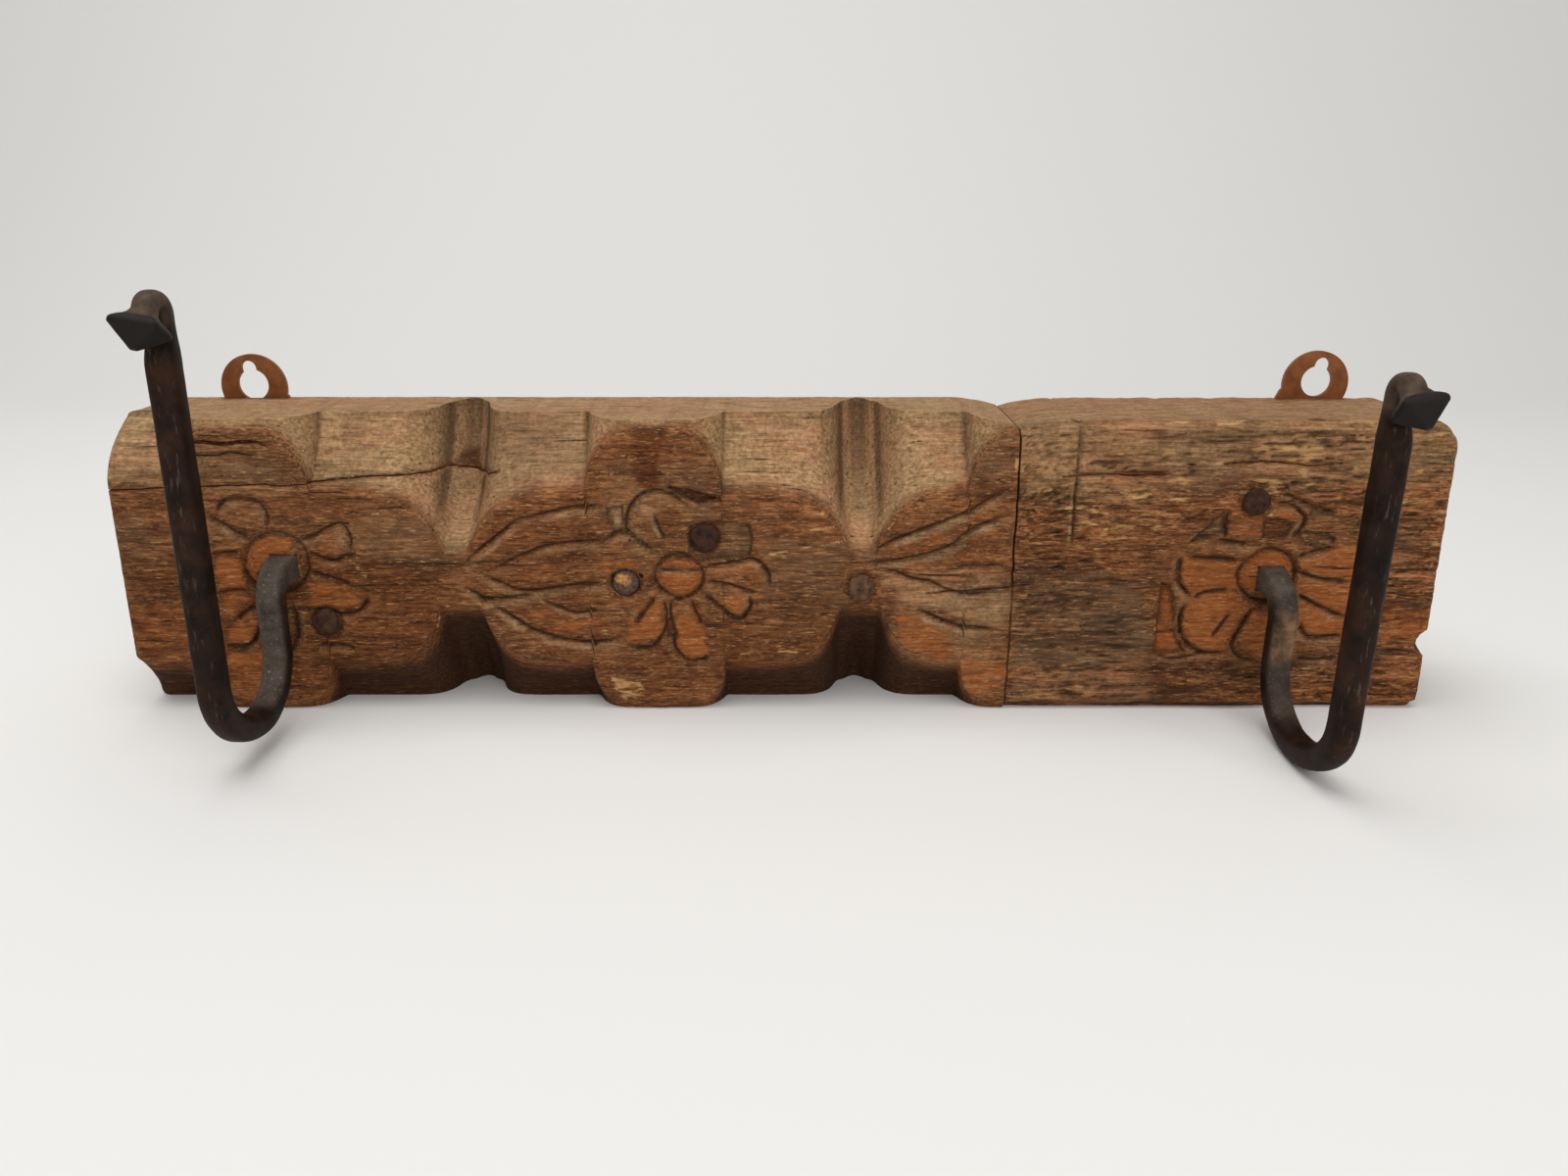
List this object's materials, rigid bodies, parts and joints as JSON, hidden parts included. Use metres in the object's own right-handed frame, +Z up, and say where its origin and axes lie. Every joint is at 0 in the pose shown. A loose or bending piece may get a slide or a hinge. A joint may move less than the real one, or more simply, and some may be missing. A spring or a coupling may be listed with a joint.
{
  "type": "wall hook rack",
  "caption": "Length of old carved timber with scalloped edges, columns and flowers, two forged iron hooks driven through it and keyhole hanger plates on its back.",
  "frame": {"origin": "middle of the board's flat back, in the plane of the wall", "axes": "+X to the right along the board, +Y into the wall, +Z up; the carved face looks to -Y"},
  "size_m": [0.4609, 0.1354, 0.1525],
  "materials": {
    "old_timber": "old, dry and unvarnished, worn open along the grain",
    "plug_timber": "bare, darkened round its rim",
    "forged_iron": "black forge scale, rubbed bright on the corners",
    "nail_iron": "dark brown rust",
    "coppered_steel": "copper-coloured coating, dulled brown",
    "screw_steel": "dull, slightly rusted"
  },
  "bodies": {
    "root": {"carved_board": "old_timber", "hook_left": "forged_iron", "hook_right": "forged_iron", "hanger_plate_left": "coppered_steel", "hanger_plate_right": "coppered_steel", "hanger_screw_left_a": "screw_steel", "hanger_screw_left_b": "screw_steel", "hanger_screw_right_a": "screw_steel", "hanger_screw_right_b": "screw_steel", "face_nail_left": "nail_iron", "face_nail_flower": "nail_iron", "face_nail_column": "nail_iron", "face_nail_right": "nail_iron", "hole_plug": "plug_timber"}
  },
  "joints": []
}
